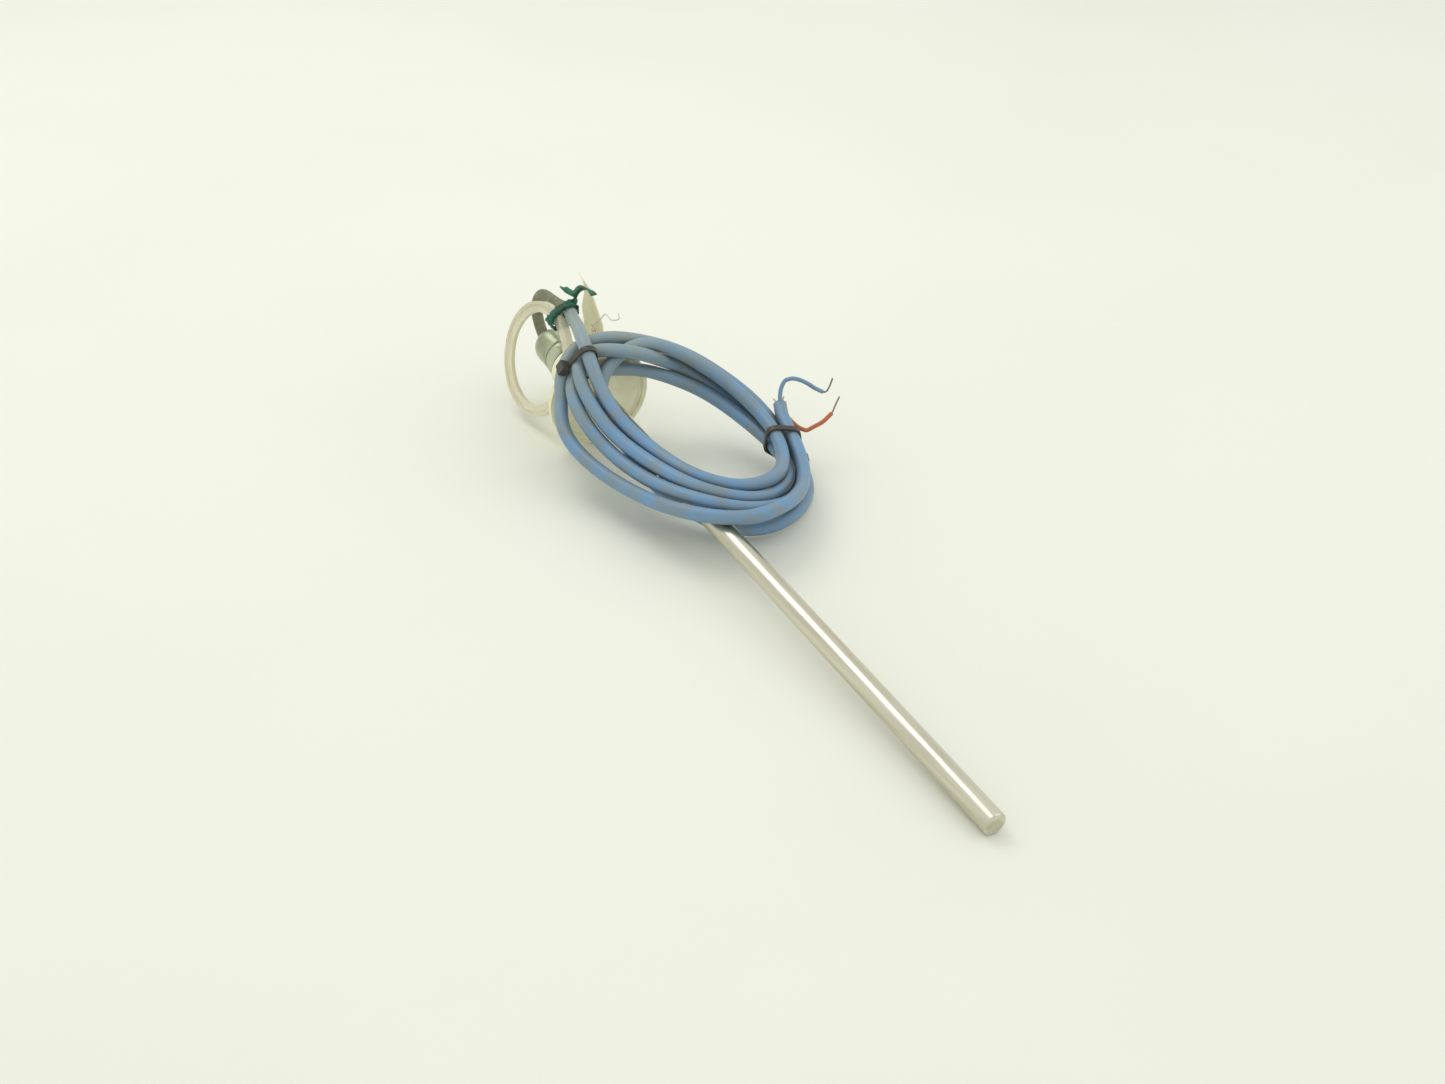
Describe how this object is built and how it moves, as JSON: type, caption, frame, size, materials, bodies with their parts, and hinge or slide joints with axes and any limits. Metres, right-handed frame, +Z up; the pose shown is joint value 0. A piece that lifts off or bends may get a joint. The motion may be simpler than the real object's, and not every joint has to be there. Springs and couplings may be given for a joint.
{
  "type": "thermocouple probe",
  "caption": "Sanitary clamp thermocouple: a long closed steel probe through a clamp flange, a cable gland behind it, and a blue lead tied in a coil with its wires bare.",
  "frame": {"origin": "on the surface it lies on, under the middle of the rigid probe, from the gland to the tip", "axes": "+X along the probe towards its tip, +Z up from the surface, +Y to the side where the coil lies"},
  "size_m": [0.3791, 0.1373, 0.0737],
  "materials": {
    "sheath_steel": "long fine grinding lines, satin",
    "flange_steel": "lathe turned, satin",
    "bead_ceramic": "matt, unglazed",
    "copper": "bare copper wire, slightly dull",
    "constantan": "bare wire, dull",
    "weld_steel": "rough weld bead",
    "tinned_copper": "tinned, satin",
    "blue_pvc": "satin",
    "potting": "cast resin",
    "black_rubber": "matt",
    "gland_nickel": "dull grey-green, slightly worn on its edges",
    "claw_nylon": "natural nylon",
    "seal_rubber": "matt",
    "grey_jacket": "matt, olive grey",
    "jacket_lip": "stretched whitish edge of the cut jacket",
    "lead_blue": "satin grey blue",
    "coil_blue": "satin steel blue with grey smears",
    "rip_yellow": "thin thread",
    "wire_blue": "satin",
    "wire_red": "satin",
    "tie_black": "satin",
    "twist_green": "crinkled paper and plastic ribbon",
    "silicone": "milky, slightly translucent",
    "tag_card": "manila card",
    "tag_eyelet": "reinforcing ring",
    "tag_string": "thin twisted cotton"
  },
  "bodies": {
    "root": {"sheath_tube": "sheath_steel", "tip_plug": "sheath_steel", "clamp_flange": "flange_steel", "flange_hub": "flange_steel", "insulator_beads": "bead_ceramic", "thermo_wire_positive": "copper", "thermo_wire_negative": "constantan", "hot_junction": "weld_steel", "crimp_sleeves": "tinned_copper", "extension_wires": "blue_pvc", "hub_potting": "potting", "gland_oring": "black_rubber", "gland_body": "gland_nickel", "clamping_claw": "claw_nylon", "cable_seal": "seal_rubber", "inner_cable": "grey_jacket", "jacket_mouth": "jacket_lip", "lead_cable": "lead_blue", "coil_cable": "coil_blue", "tail_cable": "coil_blue", "rip_thread": "rip_yellow", "wire_blue": "wire_blue", "wire_red": "wire_red", "bare_copper": "copper", "bare_constantan": "constantan", "zip_tie_left": "tie_black", "zip_tie_right": "tie_black", "twist_tie": "twist_green", "twist_tie_core": "constantan"},
    "ring": {"slip_ring": "claw_nylon"},
    "nut": {"dome_nut": "gland_nickel"},
    "gasket": {"spare_gasket": "silicone"},
    "tag": {"tag": "tag_card", "tag_eyelet": "tag_eyelet", "tag_string": "tag_string"}
  },
  "joints": [
    {"name": "ring_slide", "type": "slide", "parent": "root", "child": "ring", "axis": [-0.9977, 0, 0.0673], "range_m": [0, 0.00282]},
    {"name": "nut_turn", "type": "hinge", "parent": "ring", "child": "nut", "pos_m": [-0.17265, 0, 0.02856], "axis": [-0.9977, 0, 0.0673], "range_deg": [-720, 0]},
    {"name": "gasket_swing", "type": "hinge", "parent": "root", "child": "gasket", "pos_m": [-0.15077, -0.0068, 0.0525], "axis": [-1, 0, 0], "range_deg": [0, 7]},
    {"name": "tag_swing", "type": "hinge", "parent": "root", "child": "tag", "pos_m": [-0.16877, 0.016, 0.063], "axis": [1, 0, 0], "range_deg": [0, 30]}
  ],
  "couplings": [
    {"joint": "ring_slide", "follows": "nut_turn", "m_per_rad": -0.00022457}
  ]
}
